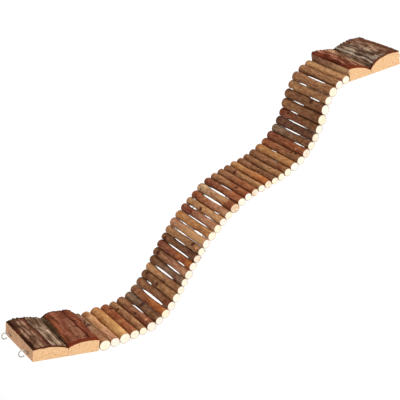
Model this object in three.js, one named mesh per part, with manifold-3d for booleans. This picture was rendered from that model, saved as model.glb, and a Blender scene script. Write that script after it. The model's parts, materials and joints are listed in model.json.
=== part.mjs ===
// Hanging bridge of natural wood: a deck of round twigs threaded side by side on two wires, with a
// platform of two half-log slabs at each end and the wire ends bent into open hooks outside them.
// Millimetres, +Z up, +X along the bridge from its lower end, +Y along the twigs towards the far side.
// The origin is midway between the two lower hooks, in the middle of their loops.

import * as THREE from 'three';
import { mergeVertices } from 'three/addons/utils/BufferGeometryUtils.js';
import Module from 'manifold-3d';

const wasm = await Module();
wasm.setup();

// Deck
const deckWidth = 70; // length of every twig and slab
const twigRadius = 4.2; // of a middling twig
const twigGap = 1.2; // between neighbours, along the wires
const twigSides = 12;
const endBevel = 0.5; // on the sawn edges of the twigs

// Wires
const wireDiameter = 1.4;
const wireInset = 13; // from the ends of the twigs to the wires
const wireHeight = 4.5; // of the wires above the underside of the platforms
const boreClearance = 0.3; // round a wire in its bore
const wireBreak = 0.3; // between a wire's stiff end and its bending run
const wireSides = 8;

// Hooks at the wire ends
const loopRadius = 3.7; // to the middle of the wire
const loopStandOff = 6; // from the end of the platform to the middle of the loop
const loopStartDegrees = 50; // above the shank, where the wire joins the loop
const loopEndDegrees = -45; // below the shank, where the loop stays open
const loopSteps = 16;

// Slabs, from the twigs outwards. The top of each runs straight from a curve at its near end to a
// curve at its far end. A row of its table is one place on both curves: share of the slab's width along
// the bridge, then heights at the near and at the far end as shares of the crown's, bark included.
const slabSeam = 0.3; // between the two slabs of a platform
const topSteps = 3; // straight lines to each stretch of those curves
const lowerInner = {
  width: 34,
  crown: 18.6,
  topShares: [
    [0, 0.76, 0.9], [0.18, 0.82, 0.98], [0.42, 0.83, 1], [0.7, 0.78, 0.98], [0.9, 0.68, 0.84],
    [1, 0.59, 0.69],
  ],
};
const lowerOuter = {
  width: 38,
  crown: 17.6,
  topShares: [
    [0, 0.62, 0.73], [0.1, 0.72, 0.84], [0.3, 0.82, 0.92], [0.55, 0.88, 0.98], [0.8, 0.88, 1],
    [1, 0.83, 0.9],
  ],
};
const upperInner = {
  width: 27,
  crown: 17,
  topShares: [
    [0, 0.91, 0.94], [0.12, 0.91, 1], [0.3, 0.88, 0.96], [0.54, 0.78, 0.89], [0.79, 0.62, 0.82],
    [1, 0.4, 0.73],
  ],
};
const upperOuter = {
  width: 38,
  crown: 17.6,
  topShares: [
    [0, 0.39, 0.7], [0.09, 0.62, 0.72], [0.2, 0.78, 0.81], [0.34, 0.9, 0.88], [0.51, 0.97, 0.93],
    [0.7, 1, 0.96], [1, 0.93, 0.89],
  ],
};

// Thickness of each twig at its near end, from the lower platform up, and what it gains or loses
// towards its far end
const twigRadiusShares = [
  1.32, 1.13, 1.27, 1.11, 0.96, 1.18, 0.96, 1.06, 1.03, 1.01, 0.91, 0.89, 1.01, 0.96,
  0.89, 0.89, 1.06, 1.01, 0.96, 0.91, 0.94, 1.11, 0.94, 0.91, 0.87, 0.87, 0.91, 0.84,
  0.87, 0.94, 1.03, 0.96, 1.01, 0.96, 1.01, 0.99, 1.2, 1.15, 0.99, 1.13, 0.99, 0.96,
];
const taperShares = [0.03, -0.05, 0.02, -0.03, 0.05, -0.04, 0, 0.04, -0.02, -0.05, 0.03];

// Bend of the bridge as it stands: how steeply a link climbs, in degrees above level. Link 0 is the
// lower platform, then come the twigs, and the last link is the upper platform. Links between two
// entries turn evenly.
const climbDegrees = {
  0: 0, 2: 12, 5: 14, 8: 50, 11: 64, 15: 62, 17: 54, 22: 44,
  24: 28, 28: 22, 31: 38, 34: 60, 37: 78, 39: 72, 41: 38, 43: 14,
};

// Sizes that follow
const wireRadius = wireDiameter / 2;
const boreRadius = wireRadius + boreClearance;
const wireSide = deckWidth / 2 - wireInset;

const materials = {
  twig: new THREE.MeshStandardMaterial({ color: 0x9a6b48, roughness: 0.8, metalness: 0 }),
  slab: new THREE.MeshStandardMaterial({ color: 0x7a4a34, roughness: 0.85, metalness: 0 }),
  wire: new THREE.MeshStandardMaterial({ color: 0x8f8f8c, roughness: 0.35, metalness: 1 }),
};

// Closed geometry to a solid, and back
function solidOf(geometry) {
  const bare = geometry.index ? geometry.clone() : geometry;
  bare.deleteAttribute('normal');
  bare.deleteAttribute('uv');
  const merged = mergeVertices(bare);
  return new wasm.Manifold(new wasm.Mesh({
    numProp: 3,
    vertProperties: merged.attributes.position.array,
    triVerts: Uint32Array.from(merged.index.array),
  }));
}

function geometryOf(solid) {
  const { vertProperties, triVerts } = solid.getMesh();
  const geometry = new THREE.BufferGeometry();
  geometry.setAttribute('position', new THREE.BufferAttribute(vertProperties, 3));
  geometry.setIndex(new THREE.BufferAttribute(triVerts, 1));
  geometry.computeVertexNormals();
  return geometry;
}

function named(name, geometry, material) {
  const mesh = new THREE.Mesh(geometry, material);
  mesh.name = name;
  return mesh;
}

// Direction at an angle above +X, in the upright plane along the bridge, where y stands for +Z
function direction(degrees) {
  const angle = THREE.MathUtils.degToRad(degrees);
  return new THREE.Vector2(Math.cos(angle), Math.sin(angle));
}

// Round wire along points in that plane, mitred at each point and closed by a flat face at each end
function wireGeometry(points) {
  const last = points.length - 1;
  const places = [];
  points.forEach((point, i) => {
    const before = point.clone().sub(points[Math.max(i - 1, 0)]).normalize();
    const after = points[Math.min(i + 1, last)].clone().sub(point).normalize();
    const along = before.add(after).normalize();
    const bend = i > 0 && i < last ? along.dot(after) : 1;
    const across = new THREE.Vector2(-along.y, along.x).multiplyScalar(wireRadius / bend);
    for (let side = 0; side < wireSides; side += 1) {
      const turn = (2 * Math.PI * side) / wireSides;
      const offset = across.clone().multiplyScalar(Math.sin(turn)).add(point);
      places.push(offset.x, wireRadius * Math.cos(turn), offset.y);
    }
  });
  const faces = [];
  for (let side = 0; side < wireSides; side += 1) {
    const next = (side + 1) % wireSides;
    for (let i = 0; i < last; i += 1) {
      const here = i * wireSides;
      const there = here + wireSides;
      faces.push(here + side, here + next, there + next);
      faces.push(here + side, there + next, there + side);
    }
    if (side > 0 && next > 0) {
      faces.push(0, next, side);
      faces.push(last * wireSides, last * wireSides + side, last * wireSides + next);
    }
  }
  const geometry = new THREE.BufferGeometry();
  geometry.setAttribute('position', new THREE.Float32BufferAttribute(places, 3));
  geometry.setIndex(faces);
  geometry.computeVertexNormals();
  return geometry;
}

// A piece of wood with its two bores for the wires, which run along X at the height of its own X axis
function bored(wood, from, to) {
  const overrun = boreRadius;
  const length = to - from + 2 * overrun;
  let solid = solidOf(wood);
  for (const side of [-wireSide, wireSide]) {
    const bore = new THREE.CylinderGeometry(boreRadius, boreRadius, length, wireSides);
    bore.rotateZ(Math.PI / 2);
    bore.translate((from + to) / 2, side, 0);
    solid = solid.subtract(solidOf(bore));
  }
  return geometryOf(solid);
}

// One twig, turned about its own length, which lies along Y
function twig(index) {
  const near = radiusOf(index);
  const far = near * (1 + taperShares[index % taperShares.length]);
  const half = deckWidth / 2;
  const profile = [
    new THREE.Vector2(0, -half),
    new THREE.Vector2(near - endBevel, -half),
    new THREE.Vector2(near, -half + endBevel),
    new THREE.Vector2(far, half - endBevel),
    new THREE.Vector2(far - endBevel, half),
    new THREE.Vector2(0, half),
  ];
  const reach = Math.max(near, far);
  const wood = new THREE.LatheGeometry(profile, twigSides);
  return named(`twig_${pad(index + 1)}`, bored(wood, -reach, reach), materials.twig);
}

function radiusOf(index) {
  return twigRadius * twigRadiusShares[index];
}

function pad(number) {
  return String(number).padStart(2, '0');
}

// Closed geometry from an outline at one side of the bridge to one with as many points at the other
// side, towards +Y. Both run clockwise as seen from the first side, and their y stands for +Z.
function lofted(first, second) {
  const places = [];
  first.forEach(({ x, y }) => places.push(x, -deckWidth / 2, y));
  second.forEach(({ x, y }) => places.push(x, deckWidth / 2, y));
  const count = first.length;
  const faces = [];
  for (const [a, b, c] of THREE.ShapeUtils.triangulateShape(first, [])) {
    faces.push(a, b, c);
  }
  for (const [a, b, c] of THREE.ShapeUtils.triangulateShape(second, [])) {
    faces.push(count + a, count + c, count + b);
  }
  for (let here = 0; here < count; here += 1) {
    const next = (here + 1) % count;
    faces.push(here, next, count + next);
    faces.push(here, count + next, count + here);
  }
  const geometry = new THREE.BufferGeometry();
  geometry.setAttribute('position', new THREE.Float32BufferAttribute(places, 3));
  geometry.setIndex(faces);
  return geometry;
}

// One slab, flat below, whose inner face is at `from` outside the twigs
function slab(name, { width, crown, topShares }, from, nearSide) {
  const outlines = [1, 2].map((end) => {
    const top = topShares.map((row) => (
      new THREE.Vector2(from + width * row[0], crown * row[end] - wireHeight)
    ));
    return [
      new THREE.Vector2(from, -wireHeight),
      ...new THREE.SplineCurve(top).getPoints(topSteps * (top.length - 1)),
      new THREE.Vector2(from + width, -wireHeight),
    ];
  });
  if (nearSide > 0) {
    outlines.reverse();
  }
  const wood = lofted(...outlines);
  return named(name, bored(wood, from, from + width), materials.slab);
}

// A wire's stiff end: straight through both slabs, then up and round an open loop beyond them
function hook(name, side, platformLength) {
  const middle = new THREE.Vector2(platformLength + loopStandOff, 0);
  const kink = loopRadius / Math.cos(THREE.MathUtils.degToRad(loopStartDegrees));
  const points = [
    new THREE.Vector2((wireBreak - twigGap) / 2, 0),
    new THREE.Vector2(middle.x - kink, 0),
  ];
  const first = 180 - loopStartDegrees;
  const sweep = 360 - loopStartDegrees + loopEndDegrees;
  for (let step = 0; step <= loopSteps; step += 1) {
    const place = direction(first - (sweep * step) / loopSteps).multiplyScalar(loopRadius);
    points.push(place.add(middle));
  }
  const mesh = named(name, wireGeometry(points), materials.wire);
  mesh.position.y = side;
  return mesh;
}

// A platform, laid out along +X from its inner face. `nearSide` is the side on which its near wire
// lies: the lower platform is turned round, so its near side is the other way.
function platform(level, inner, outer, nearSide) {
  const group = new THREE.Group();
  const length = inner.width + slabSeam + outer.width;
  const parts = [
    slab(`${level}_inner_slab`, inner, 0, nearSide),
    slab(`${level}_outer_slab`, outer, inner.width + slabSeam, nearSide),
    hook(`${level}_hook_near`, nearSide, length),
    hook(`${level}_hook_far`, -nearSide, length),
  ];
  group.add(...parts);
  return group;
}

// Angle of a link above level
function climbOf(link) {
  const listed = Object.keys(climbDegrees).map(Number);
  const to = listed.find((at) => at >= link && at > 0);
  const from = listed[listed.indexOf(to) - 1];
  return THREE.MathUtils.mapLinear(link, from, to, climbDegrees[from], climbDegrees[to]);
}

// The bridge, link by link: `place` moves along the wires, from one bend to the next
const bridge = new THREE.Group();
const lowerLength = lowerInner.width + slabSeam + lowerOuter.width;
const lower = platform('lower', lowerInner, lowerOuter, wireSide);
lower.position.x = lowerLength + loopStandOff;
lower.rotation.z = Math.PI;
bridge.add(lower);

const place = new THREE.Vector2(lower.position.x + twigGap / 2, 0);
const bends = [place.clone()];
twigRadiusShares.forEach((share, index) => {
  const angle = climbOf(index + 1);
  const half = direction(angle).multiplyScalar(radiusOf(index) + twigGap / 2);
  const mesh = twig(index);
  place.add(half);
  mesh.position.set(place.x, 0, place.y);
  mesh.rotation.y = -THREE.MathUtils.degToRad(angle);
  bridge.add(mesh);
  place.add(half);
  bends.push(place.clone());
});

const lastLink = twigRadiusShares.length + 1;
const upperAngle = climbOf(lastLink);
const upper = platform('upper', upperInner, upperOuter, -wireSide);
place.add(direction(upperAngle).multiplyScalar(twigGap / 2));
upper.position.set(place.x, 0, place.y);
upper.rotation.y = -THREE.MathUtils.degToRad(upperAngle);
bridge.add(upper);

// The bending runs of the two wires, through the bores of all the twigs
const runStart = bends[0].clone().add(direction(climbOf(1)).multiplyScalar(wireBreak / 2));
const runEnd = bends[bends.length - 1].clone()
  .sub(direction(climbOf(lastLink - 1)).multiplyScalar(wireBreak / 2));
const run = [runStart, ...bends.slice(1, -1), runEnd];
for (const [name, side] of [['wire_near', -wireSide], ['wire_far', wireSide]]) {
  const mesh = named(name, wireGeometry(run), materials.wire);
  mesh.position.y = side;
  bridge.add(mesh);
}

export default bridge;
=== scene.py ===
# Looks of the hanging bridge: a deck of round twigs on two wires between two platforms of half-log
# slabs. Metres, +Z up, +X along the bridge from its lower end, +Y along the twigs to the far side.
import json
import math
import random
from collections import namedtuple

import bmesh
import bpy
from mathutils import Matrix, Vector, noise


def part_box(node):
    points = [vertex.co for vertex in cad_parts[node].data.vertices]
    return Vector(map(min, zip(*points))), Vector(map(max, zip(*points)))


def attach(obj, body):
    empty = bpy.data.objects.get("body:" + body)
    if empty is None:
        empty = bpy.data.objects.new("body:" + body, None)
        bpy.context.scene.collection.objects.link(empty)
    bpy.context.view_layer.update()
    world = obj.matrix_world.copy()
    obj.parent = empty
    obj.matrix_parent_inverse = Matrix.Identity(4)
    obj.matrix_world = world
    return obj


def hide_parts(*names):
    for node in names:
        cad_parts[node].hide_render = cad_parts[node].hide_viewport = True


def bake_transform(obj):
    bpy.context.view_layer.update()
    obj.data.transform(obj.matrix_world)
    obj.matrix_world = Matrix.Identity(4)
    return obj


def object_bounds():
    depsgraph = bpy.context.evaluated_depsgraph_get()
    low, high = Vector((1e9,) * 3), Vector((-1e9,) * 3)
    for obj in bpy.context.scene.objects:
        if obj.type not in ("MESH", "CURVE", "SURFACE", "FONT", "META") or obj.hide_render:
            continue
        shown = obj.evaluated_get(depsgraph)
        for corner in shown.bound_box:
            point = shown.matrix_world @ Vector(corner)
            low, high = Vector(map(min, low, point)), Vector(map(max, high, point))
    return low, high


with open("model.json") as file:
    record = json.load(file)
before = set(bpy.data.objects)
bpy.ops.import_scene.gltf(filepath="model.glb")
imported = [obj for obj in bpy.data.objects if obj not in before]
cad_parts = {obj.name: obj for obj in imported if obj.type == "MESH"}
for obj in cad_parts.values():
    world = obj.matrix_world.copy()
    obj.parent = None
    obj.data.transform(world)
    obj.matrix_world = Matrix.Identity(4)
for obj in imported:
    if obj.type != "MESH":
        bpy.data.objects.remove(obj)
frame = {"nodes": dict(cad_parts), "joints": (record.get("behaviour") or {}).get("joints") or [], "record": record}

MM = 0.001
cad_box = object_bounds()

# Camera, fitted to the ends of the twigs and the corners of the platforms
CAMERA_TARGET = Vector((204.1, 0, 132.4)) * MM
CAMERA_DISTANCE = 1406.6 * MM
CAMERA_AZIMUTH = math.radians(31.55)
CAMERA_ELEVATION = math.radians(18.78)
CAMERA_ROLL = math.radians(4.79)
SENSOR_WIDTH = 36.0
FOCAL_LENGTH = 121.36
CLIP_END = 100

# Studio
FLOOR_HEIGHT = -125 * MM
FLOOR_SIZE = 12.0
FLOOR_SHARE = 0.93  # of the light that the floor gives back
KEY_WAY = Vector((0.46, -0.67, 0.58)).normalized()  # towards the bright side of the studio
WORLD_DIM = 0.42  # light from the dark side
WORLD_BRIGHT = 1.55  # more light from the bright side
KEY_DISTANCE = 2.4
KEY_SIZE = 1.4
KEY_POWER = 20

# Bridge, from its CAD solids and joints
TWIG_NAMES = [joint["child"] for joint in frame["joints"][:-1]]
HALF_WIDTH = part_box(TWIG_NAMES[0])[1].y
WIDTH = 2 * HALF_WIDTH  # of the deck, which is the length of the twigs
WIRE_SIDE = sum(corner.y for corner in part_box("wire_far")) / 2
WIRE_RADIUS = (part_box("wire_far")[1].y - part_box("wire_far")[0].y) / 2

# Twigs
TWIG_SIDES = 48
TWIG_RINGS = 66
TWIG_GAP = 1.2 * MM
TWIG_SEED = 13.7
ROUNDED_EDGE = 0.35 * MM
RISE = 0.8 * MM  # most that a twig's middle line leaves the straight one, above or below the deck
TOUCH = 0.012 * MM  # kept free on either side of the middle of each gap
WAVER = 0.02 * MM  # and as much more here and there
BEND = math.radians(12)  # most that a hinge bends either way
SWELL = 0.8 * MM  # most by which the grown twig is thicker than its straight solid
SLIT_BLUNT = 0.3  # power that makes the ends of a slit blunter than an arch's
LUMP_SHARE = 0.035  # of the radius, for slow swellings
LUMP_WAVES = 3.2  # of them along a twig
OVAL_SHARE = 0.025
RIDGE = 0.11 * MM  # height of the ridges along the bark
RIDGE_WAVES = (5.5, 7)  # round the twig and along it
COLOR_WAVES = (1.4, 6)
RIDGE_SIZES = ((1.0, 1.0), (2.3, 0.6))  # how much finer, and how high as a share
BUD_RING = 0.14 * MM
BUD_RING_WIDTH = 0.7 * MM
END_DARK = 1.6 * MM  # length of the darker bark next to a sawn end
PAINTED_TOP_LIGHT = 1.17  # painted light: the bark is made brighter all round the twig, most above and below, as if lit there
PAINTED_SIDE_SHADE = Vector((0.44, 0.54, 0.62))  # painted shade: less red, green and blue where a twig lies against the next
BARK_BLUR_SHARE = 0.4  # of the length over which one bark turns into the other
PEELED_SHARES = (0.57, 0.05)  # where a peeled twig's bark begins, and its blur
BORE_MOUTH = 1.05 * MM
BORE_DEPTH = 0.5 * MM
CAP_SHARES = (0.94, 0.84, 0.72, 0.6, 0.48, 0.36, 0.24, 0.12)
SAW_MARK = 0.09 * MM
SAW_LINES = 900  # to the metre

# Two colours of each kind of bark: its ground and its streaks
BARKS = {
    "ash": ("#70553F", "#8E6F57"), "umber": ("#694329", "#855B3D"), "walnut": ("#7C5033", "#976A48"),
    "fawn": ("#845739", "#A0744E"), "hazel": ("#946642", "#AE8256"), "tan": ("#A8764C", "#BE9064"),
    "gold": ("#B07E4A", "#C4955E"), "amber": ("#9E683C", "#B68456"), "copper": ("#945028", "#B06E3C"),
    "rust": ("#824628", "#9C623E"), "clay": ("#9C684A", "#B48464"), "plum": ("#703A26", "#8A563C"),
    "bistre": ("#593625", "#724B36"), "pale": ("#A07C58", "#C09E78"), "peel": ("#B58258", "#CC9C70"),
}

# Bark of each twig at its near and at its far end, from the lower platform up
TWIG_BARKS = """
    walnut-ash clay-tan gold-amber rust-rust fawn-fawn plum-walnut umber-ash copper-walnut
    umber-walnut hazel-umber walnut-tan ash-umber clay-umber copper-plum bistre-umber fawn-hazel
    peel-clay amber-amber clay-plum tan-hazel clay-rust rust-pale rust-plum rust-fawn rust-walnut
    hazel-walnut copper-amber umber-walnut hazel-walnut walnut-walnut amber-amber walnut-rust
    rust-plum umber-ash bistre-bistre umber-plum umber-walnut umber-umber fawn-hazel walnut-fawn
    fawn-fawn tan-tan
""".split()

# Slits between the twigs, by the number of the twig below the slit: start and end as shares of the
# length from the near end, and width in millimetres. Elsewhere neighbouring twigs all but touch.
SLITS = {
    2: [(0.42, 0.72, 1.6)], 6: [(0.37, 0.77, 1.9)], 8: [(0.18, 0.82, 2.5)], 9: [(0.7, 0.87, 1.3)],
    11: [(0.29, 0.86, 2.2)], 12: [(0.18, 0.6, 1.6)], 13: [(0.17, 0.41, 1.4)],
    14: [(0.19, 0.8, 1.4)], 15: [(0.42, 0.75, 1.2)], 16: [(0.5, 0.9, 1.1)],
    17: [(0.13, 0.44, 1.8), (0.66, 0.88, 1.1)], 18: [(0.22, 0.8, 1.1)],
    19: [(0.24, 0.45, 0.6), (0.7, 0.92, 1.4)], 20: [(0.18, 0.34, 1.0), (0.88, 0.97, 0.9)],
    21: [(0.27, 0.84, 2.3)], 22: [(0.38, 0.86, 2.0)], 23: [(0.32, 0.72, 1.6)],
    24: [(0.34, 0.68, 1.2)], 25: [(0.36, 0.58, 1.1)], 26: [(0.46, 0.66, 1.1)],
    27: [(0.44, 0.78, 1.1)], 28: [(0.3, 0.74, 1.1)], 29: [(0.2, 0.6, 1.2)],
    30: [(0.27, 0.78, 1.1)], 31: [(0.54, 0.76, 1.0)], 33: [(0.12, 0.41, 1.2)],
    34: [(0.34, 0.78, 1.5)], 35: [(0.28, 0.79, 1.5)], 36: [(0.6, 0.82, 1.1)],
    37: [(0.52, 0.82, 1.3)], 38: [(0.18, 0.45, 1.4), (0.9, 1.0, 1.1)], 39: [(0.62, 0.83, 1.4)],
    40: [(0.22, 0.8, 2.6), (0.9, 1.0, 1.6)],
}

# Marks: number of the twig, kind, share of the length from the near end, degrees round the twig from
# +X towards +Z, and size in millimetres
Mark = namedtuple("Mark", "twig kind place degrees size")
TWIG_MARKS = (
    (1, "knot", 0.54, 100, 2.9), (1, "stain", 0.76, 108, 6.0), (1, "dent", 0.736, 81, 1.2),
    (1, "dent", 0.711, 89, 1.2), (1, "dent", 0.687, 97, 1.4), (1, "dent", 0.667, 103, 1.4),
    (1, "dent", 0.647, 109, 1.4), (1, "dent", 0.63, 115, 1.4), (1, "dent", 0.613, 121, 1.3),
    (2, "stub", 0.15, 60, 1.0), (2, "stain", 0.93, 120, 5.0), (3, "stub", 0.14, 62, 1.1),
    (4, "knot", 0.82, 80, 2.9), (4, "stain", 0.6, 110, 6.0), (5, "knot", 0.74, 140, 2.3),
    (5, "stub", 0.78, 95, 0.9), (6, "scar", 0.12, 115, 2.3), (6, "stub", 0.16, 65, 1.1),
    (6, "dent", 0.42, 140, 2.4), (7, "knot", 0.51, 118, 3.4), (8, "stain", 0.5, 150, 5.0),
    (8, "flake", 0.028, 62, 0.8), (9, "stain", 0.07, 140, 5.0), (9, "knot", 0.1, 215, 2.3),
    (10, "knot", 0.51, 158, 2.9), (10, "knot", 0.87, 122, 2.3), (11, "knot", 0.4, 208, 3.0),
    (11, "knot", 0.47, 196, 2.1), (12, "knot", 0.16, 208, 3.0), (12, "stain", 0.2, 160, 4.5),
    (13, "knot", 0.86, 148, 3.1), (13, "stub", 0.8, 112, 0.9), (13, "flake", 0.028, -25, 0.9),
    (14, "dent", 0.61, 205, 1.6), (14, "stain", 0.22, 160, 6.0), (15, "knot", 0.88, 180, 3.1),
    (15, "stub", 0.07, 200, 0.8), (15, "flake", 0.028, 5, 0.9), (16, "knot", 0.2, 128, 2.9),
    (16, "scar", 0.08, 148, 2.2), (16, "stub", 0.25, 110, 0.8), (16, "flake", 0.028, -5, 1.0),
    (16, "flake", 0.05, -35, 0.9), (17, "dent", 0.58, 158, 2.4), (17, "peel", 0.25, 150, 22.0),
    (18, "stain", 0.3, 200, 6.0), (19, "dent", 0.7, 165, 1.8), (19, "stain", 0.8, 140, 6.0),
    (20, "knot", 0.56, 162, 2.6), (21, "dent", 0.88, 185, 2.2), (21, "stain", 0.95, 150, 4.0),
    (22, "dent", 0.9, 170, 1.8), (22, "stain", 0.12, 140, 8.0), (22, "peel", 0.3, 110, 6.0),
    (24, "knot", 0.3, 120, 2.3), (26, "knot", 0.7, 140, 2.6), (28, "dent", 0.4, 150, 2.0),
    (30, "stain", 0.15, 150, 4.0), (32, "knot", 0.14, 92, 2.7), (32, "knot", 0.24, 105, 2.1),
    (33, "scar", 0.2, 170, 1.4), (34, "stain", 0.2, 100, 5.0), (34, "scar", 0.07, 85, 1.4),
    (36, "dent", 0.79, 131, 2.3), (36, "stain", 0.92, 150, 5.0), (38, "scar", 0.13, 95, 2.0),
    (38, "knot", 0.3, 132, 2.9), (38, "stain", 0.05, 200, 5.0), (39, "stub", 0.88, 100, 1.0),
    (41, "stub", 0.15, 80, 1.0), (41, "stub", 0.97, 80, 1.1), (42, "stub", 0.5, 95, 0.8),
)
# Each kind of mark: its colour, how much of it shows, the share of its size where it starts to fade,
# and its domes and hollows, by their height, reach and steepness as shares of its size
MarkKind = namedtuple("MarkKind", "color most core shapes")
MARK_KINDS = {
    "knot": MarkKind("#3C170D", 0.92, 0.6, ((0.26, 1.3484, 2), (-0.34, 0.42, 2))),
    "flake": MarkKind("#3A2014", 0.92, 0.3, ((2.0, 1.0, 4),)),
    "stub": MarkKind("#C79A72", 0.92, 0.3, ((0.5, 1.0, 4),)),
    "scar": MarkKind("#C98E66", 0.92, 0.3, ((-0.1, 1.0, 6),)),
    "dent": MarkKind("#2E170F", 0.92, 0.3, ((-0.26, 0.8, 4),)),
    "stain": MarkKind("#6B2C16", 0.45, 0.3, ()),
    "peel": MarkKind("#B8885C", 0.85, 0.3, ()),
}
KNOT_HEART_COLOR = "#8A4E33"
LONG_MARK_SHARE = 0.55  # width of a stain or peeled patch as a share of its length
PEEL_DEPTH = 0.22

# Sawn twig ends: most are pale, and these are darker by a share
CUT_COLOR = "#E2D6BC"
CUT_DARK_COLOR = "#C49A6A"
CUT_GREY_COLOR = "#DEDAD0"
CUT_DARK_SHARES = {15: 0.35, 22: 0.7, 25: 0.4, 27: 0.25, 33: 0.3, 35: 0.35, 37: 0.15}
SMEAR_SHARE = 0.2  # of the darker colour, in places
SMEAR_SIZE = 3 * MM

# Slabs
BARK_STEP = 0.5 * MM
WOOD_STEP = 1.4 * MM
WOOD_EDGE = 0.4 * MM
WOOD_SWAY = 0.45 * MM  # by which the wood's top rises and falls under the bark
BARK_SINK = 0.5 * MM  # of the bark's back in the wood
LEAST_BARK = 0.35 * MM
MOUTH_WIDTH = 1.3 * MM
MOUTH_LENGTH = 3.0 * MM
MOUTH_DEPTH = 2.5 * MM
MOUTH_SIDES = 20
SHOULDER_SHARE = 0.28  # of the lower inner slab, whose bark is chipped lower on its near half
SHOULDER_LENGTH = 1.2 * MM  # of the step between both halves

# Bark runs along the log in strips that differ. A strip reaches to a share of the slab's width, from
# the twigs outwards, at the near and at the far end; then come the width and length of its plates and
# the depth of its fissures in millimetres, the share of a plate's width that a fissure takes, how deep
# the strip lies, its colour and the colour of its palest plates.
Strip = namedtuple("Strip", "near far width length fissure crack_share sunk color pale")

# Each slab: thickness of its bark, height of its fine ridges and of the steps between its plates, depth
# of the bare border at the near sawn end, all in millimetres, a seed, the share of its inner side that
# bark spills over, colours of that border and of the near and far part of its sides, and its strips
Looks = namedtuple("Looks", "bark ridge chips border seed spill border_color side_colors strips")
SLABS = {
    "lower_inner": Looks(
        2.3, 0.4, 0.4, 4.6, 11.3, 0.0, "#6A2812", ("#B98C66", "#A8745A"), (
            Strip(0.26, 0.27, 9.5, 50, 0.7, 0.16, 0.0, "#783E29", "#986048"),
            Strip(0.3, 0.31, 1.4, 70, 0.2, 0.2, 1.2, "#4C1C0E", "#663020"),
            Strip(0.62, 0.55, 11.0, 21, 0.5, 0.12, 0.5, "#6F3A27", "#8F5E47"),
            Strip(0.86, 0.76, 7.4, 33, 0.4, 0.1, 0.3, "#6C3823", "#8E5640"),
            Strip(1.0, 0.91, 4.6, 60, 0.5, 0.2, 0.1, "#68331E", "#925338"),
            Strip(1.0, 1.0, 5.0, 50, 0.5, 0.2, 0.2, "#4A3822", "#705C42"),
        ),
    ),
    "lower_outer": Looks(
        2.4, 0.6, 0.8, 0.8, 4.7, 0.0, "#4C1E0C", ("#D0A078", "#D0A078"), (
            Strip(0.04, 0.09, 3.0, 40, 0.7, 0.3, 0.6, "#4A3424", "#7C644C"),
            Strip(0.46, 0.5, 3.4, 34, 1.0, 0.4, 0.0, "#664836", "#C8AA8C"),
            Strip(0.54, 0.6, 4.0, 50, 0.5, 0.2, 0.8, "#562B1E", "#744636"),
            Strip(0.91, 0.91, 4.7, 12, 1.4, 0.4, 0.0, "#64402D", "#A27C62"),
            Strip(1.0, 1.0, 3.4, 20, 0.6, 0.3, 0.8, "#36180B", "#562C18"),
        ),
    ),
    "upper_inner": Looks(
        2.1, 0.5, 0.5, 8.0, 23.1, 0.8, "#6A2A10", ("#D0A676", "#A07458"), (
            Strip(0.1, 0.24, 4.0, 50, 0.7, 0.34, 0.3, "#501D0D", "#7E3B25"),
            Strip(0.5, 0.6, 4.2, 15, 1.0, 0.42, 0.0, "#70321D", "#BE8064"),
            Strip(1.0, 1.0, 3.0, 26, 1.1, 0.5, 0.2, "#623821", "#D4A280"),
        ),
    ),
    "upper_outer": Looks(
        2.2, 0.6, 0.7, 2.2, 37.9, 0.0, "#582812", ("#CA9B74", "#CA9B74"), (
            Strip(0.1, 0.1, 1.6, 40, 0.9, 0.5, 0.2, "#5E3E2A", "#A4866C"),
            Strip(0.34, 0.2, 2.0, 34, 1.2, 0.6, 0.0, "#664835", "#DCC4AC"),
            Strip(0.58, 0.36, 2.8, 30, 1.2, 0.6, 0.0, "#6A4A36", "#D2B49A"),
            Strip(0.78, 0.68, 3.6, 24, 1.1, 0.5, 0.0, "#704832", "#C09A7E"),
            Strip(1.0, 1.0, 3.8, 20, 1.0, 0.44, 0.2, "#603725", "#A07358"),
        ),
    ),
}
SWAY = 1.3 * MM  # by which the plates wander across the log

# Noises in the bark: millimetres across the log and along it, seed and height of each wave
SWAY_WAVES = ((14, 19, 0, 1.0), (4, 7, 0, 0.4), (1.2, 2.4, 0, 0.14))
DRIFT_WAVES = ((5, 9, 5, 3.0),)  # by which the plates wander along the log
STRAND_WAVES = ((1.9, 22, 9, 1.0), (0.8, 8, 3, 0.6))
FINE_WAVES = ((0.8, 3, 7, 1.0),)
STRIP_BLUR = 0.8 * MM
RAGGED = 0.35 * MM  # by which the bark is drawn back from the sawn faces, here more and there less
FISSURE_SHARE = 0.85
FAR_SHADE_EDGE = 3.0 * MM  # of the bark along the far sawn end, which gets painted shade where it curves away
FAR_SHADE_SHARE = 0.7
FISSURE_COLOR = "#2E170E"
END_WOOD_COLOR = "#D0A87C"
SPILL_COLOR = "#6C3A26"
SIDE_ROWS = 9  # of faces between the lower edge and the top of the wood
GROWTH_RING = 1.5 * MM
LOG_MIDDLE_SHARES = (0.5, 0.55)  # of the slab's width: how far outwards and how far under the slab

# Hooks and wires
LOOP_SHARE = 0.94  # of the radius of the solid's loop, which has flat stretches
LOOP_START = math.radians(50)
LOOP_END = math.radians(-45)
LOOP_STEPS = 48
WIRE_SIDES = 16
WIRE_BEND = 0.8 * TWIG_GAP  # half the length over which a wire bends at a gap
WIRE_BEND_STEPS = 8
DOME_HEIGHT = 0.35 * WIRE_RADIUS
DOME_SHARE = 0.6  # of the radius, for the flat top of the dome at a wire's end
STIFF_END_DEPTH = 0.4 * MM  # of a stiff end in the slab, clear of the next twig as it bends


# Colours and curves

def linear(code):
    """A colour of the palette in linear values."""
    parts = [int(code[i:i + 2], 16) / 255 for i in (1, 3, 5)]
    return Vector([p / 12.92 if p <= 0.04045 else ((p + 0.055) / 1.055) ** 2.4 for p in parts])


def between(low, high, value):
    """How far a value lies from low, 0, to high, 1."""
    return min(max((value - low) / (high - low), 0), 1)


def smooth(low, high, value):
    """0 below low, 1 above high and a smooth turn between them."""
    share = between(low, high, value)
    return share * share * (3 - 2 * share)


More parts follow.
